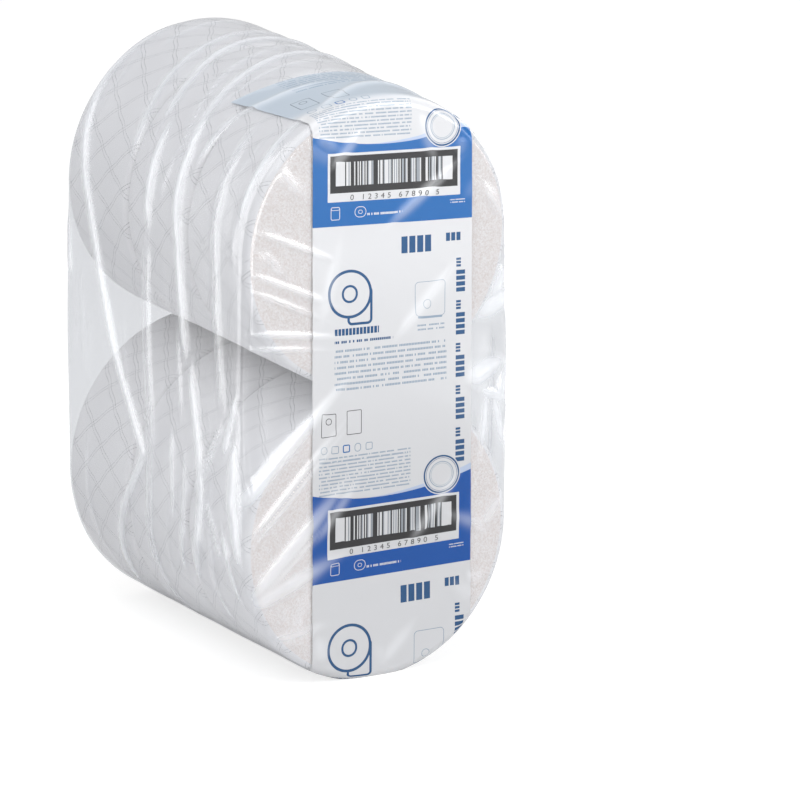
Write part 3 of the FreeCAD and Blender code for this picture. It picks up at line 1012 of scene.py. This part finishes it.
# Stretched polyethylene film, blown and clear: a sharp gloss over a faint milky haze, whiter along
# creases, partly as painted highlight
def filmMaterial(name, printed):
    material, tree = newMaterial(name)
    clear = addNode(tree, "BsdfTransparent", None, {"Color": toLinear("#E8E9EB")})
    milk = addNode(tree, "BsdfDiffuse", None, {"Color": toLinear("#F0F3F8")})
    # Whiter along creases: partly real stress-whitening, partly painted highlight
    fold = addNode(tree, "Attribute", {"attribute_name": "fold"})
    milkAndPaintedHighlight = addNode(tree, "Math", {"operation": "MULTIPLY_ADD"}, {0: (fold, "Fac"), 1: 0.4, 2: 0.05})
    body = addNode(tree, "MixShader", None, {0: milkAndPaintedHighlight, 1: clear, 2: milk})
    if printed:
        colour, cover = printNodes(tree)
        # The ink is whitened along creases too, partly as painted highlight
        inkMilkAndHighlight = addNode(tree, "Math", {"operation": "MULTIPLY"}, {0: (fold, "Fac"), 1: 0.4})
        inkWithMilkAndHighlight = addNode(
            tree, "Mix", {"data_type": "RGBA"},
            {"Factor": inkMilkAndHighlight, "A": (colour, 2), "B": toLinear("#F6F8FB")},
        )
        ink = addNode(tree, "BsdfDiffuse", None, {"Color": (inkWithMilkAndHighlight, 2)})
        body = addNode(tree, "MixShader", None, {0: cover, 1: body, 2: ink})
    gloss = addNode(tree, "BsdfGlossy", None, {"Color": (1, 1, 1, 1), "Roughness": 0.22})
    weight = addNode(tree, "LayerWeight", None, {"Blend": 0.5})
    edgeOn = addNode(tree, "Math", {"operation": "POWER"}, {0: (weight, "Facing"), 1: 5.0})
    faceOn = 0.025 if printed else 0.04
    mirror = addNode(
        tree, "Math", {"operation": "MULTIPLY_ADD", "use_clamp": True},
        {0: edgeOn, 1: 0.6, 2: faceOn},
    )
    surface = addNode(tree, "MixShader", None, {0: mirror, 1: body, 2: gloss})
    addNode(tree, "OutputMaterial", None, {"Surface": surface})
    return material


# Build the pieces

tissueSide = tissueSideMaterial()
tissueEnd = tissueEndMaterial()
board = coreMaterial()
patternRoll = makeRoll()
patternRoll.data.materials.append(tissueSide)
patternRoll.data.materials.append(tissueEnd)
for column in columns:
    for count, station in enumerate(stations):
        nodeName = f"roll_{column}_{station}"
        tissueRoll = layRoll(patternRoll, nodeName, count + 3 * columns.index(column))
        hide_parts(nodeName)
        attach(tissueRoll, "root")
        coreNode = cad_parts[f"core_{column}_{station}"]
        coreNode.data.materials.clear()
        coreNode.data.materials.append(board)
bpy.data.objects.remove(patternRoll)
print("rolls and cores done:", len(columns) * len(stations), "of each")

filmSkin = makeFilm()
filmSkin.data.materials.append(filmMaterial("polyethylene_film_clear", False))
filmSkin.data.materials.append(filmMaterial("polyethylene_film_printed", True))
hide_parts("film_wrap")
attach(filmSkin, "root")
makeDigits(filmSkin)
print("film and print done:", len(filmSkin.data.polygons), "faces")


# Floor, light and camera

# The floor's own colour lights the pack, the darker one and the glow are what the eye sees
studio = {
    "floorColour": "#F6F6F6",
    "floorSeen": "#989898",
    "floorGlow": 0.76,
    "worldColour": "#FFFFFF",
    "worldStrength": 0.52,
}
# Softboxes aimed at the pack: place, size and power
softboxes = [
    ("softbox_over", (-1.2, -0.8, 2.8), 2.6, 64),
    ("softbox_front", (1.5, -2.2, 1.5), 1.2, 39),
]
# Panels that only glint in the film: place, the way they face, width, tallness and power
glintPanels = [
    ("glint_left", (-0.54, 0.28, 0.62), (1, 0, 0), 0.46, 1.24, 10),
    ("glint_floor", (-0.40, 0.04, 0.01), (0.1, 0, 1), 0.26, 0.30, 1.1),
    ("glint_floor_right", (0.66, -0.67, 0.01), (0, 0.05, 1), 0.24, 0.30, 1.1),
    ("glint_right", (0.62, 0.1, 0.6), (-1, 0, 0), 0.4, 1.2, 5),
    ("glint_front_right", (0.56, -0.86, 0.48), (-0.5, 0.8, -0.1), 0.60, 0.40, 7.5),
    ("glint_shoulder", (-0.62, -0.42, 0.05), (0.84, 0.47, 0.2), 0.22, 0.10, 0.6),
    ("glint_front_left", (-0.05, -1.05, 0.24), (0, 1, 0), 0.50, 0.42, 5.5),
]


def addAreaLight(name, place, target, size, power):
    data = bpy.data.lights.new(name, "AREA")
    data.shape = "RECTANGLE"
    data.size, data.size_y = size
    data.energy = power
    lamp = bpy.data.objects.new(name, data)
    bpy.context.scene.collection.objects.link(lamp)
    lamp.location = place
    lamp.rotation_euler = (Vector(target) - Vector(place)).to_track_quat("-Z", "Y").to_euler()
    lamp.visible_camera = False
    return lamp


def makeStudio():
    deselectAll()
    bpy.ops.mesh.primitive_plane_add(size=40, location=(0, 0, 0))
    floor = bpy.context.object
    floor.name = "studio_floor"
    # Matt paper, lit from behind for the eye only, so that the foot's shadow stays faint
    material, tree = newMaterial("floor_paper_matt")
    seen = addNode(tree, "LightPath")
    glow = addNode(
        tree, "Math", {"operation": "MULTIPLY"},
        {0: (seen, "Is Camera Ray"), 1: studio["floorGlow"]},
    )
    paper = addNode(
        tree, "Mix", {"data_type": "RGBA"},
        {
            "Factor": (seen, "Is Camera Ray"),
            "A": toLinear(studio["floorColour"]),
            "B": toLinear(studio["floorSeen"]),
        },
    )
    shader = addNode(
        tree, "BsdfPrincipled", None,
        {
            "Base Color": (paper, 2),
            "Roughness": 0.9,
            "Specular IOR Level": 0.1,
            "Emission Color": toLinear("#FFFFFF"),
            "Emission Strength": glow,
        },
    )
    addNode(tree, "OutputMaterial", None, {"Surface": shader})
    floor.data.materials.append(material)
    world = bpy.data.worlds.new("studio_air")
    bpy.context.scene.world = world
    world.use_nodes = True
    background = world.node_tree.nodes["Background"]
    background.inputs["Color"].default_value = toLinear(studio["worldColour"])
    background.inputs["Strength"].default_value = studio["worldStrength"]
    for name, place, side, power in softboxes:
        addAreaLight(name, place, (0, 0, packMiddle), (side, side), power)
    for name, place, facing, width, tall, power in glintPanels:
        panel = addAreaLight(name, place, Vector(place) + Vector(facing), (width, tall), power)
        panel.visible_diffuse = False


# Camera fitted to the outlines of both columns in the photograph
camera = {
    "azimuth": -29.457,
    "elevation": 15.707,
    "focalPixels": 12272.0,
    "distanceInDiameters": 41.15,
    "imageWidth": 800.0,
    "packAt": (285.65, 346.65),  # where the pack's middle lies in the picture, in pixels
}


def makeCamera():
    data = bpy.data.cameras.new("camera")
    data.sensor_width = 36
    data.lens = camera["focalPixels"] / camera["imageWidth"] * data.sensor_width
    half = camera["imageWidth"] / 2
    data.shift_x = (half - camera["packAt"][0]) / camera["imageWidth"]
    data.shift_y = -(half - camera["packAt"][1]) / camera["imageWidth"]
    holder = bpy.data.objects.new("camera", data)
    bpy.context.scene.collection.objects.link(holder)
    turn, rise = math.radians(camera["azimuth"]), math.radians(camera["elevation"])
    back = Vector(
        (math.sin(turn) * math.cos(rise), -math.cos(turn) * math.cos(rise), math.sin(rise))
    )
    distance = camera["distanceInDiameters"] * 2 * rollRadius
    holder.location = Vector((0, 0, packMiddle)) + back * distance
    holder.rotation_mode = "QUATERNION"
    holder.rotation_quaternion = (-back).to_track_quat("-Z", "Y")
    data.clip_start, data.clip_end = 0.1, 100
    bpy.context.scene.camera = holder


makeStudio()
makeCamera()
bpy.context.scene.view_settings.view_transform = "Standard"
print("studio and camera done")
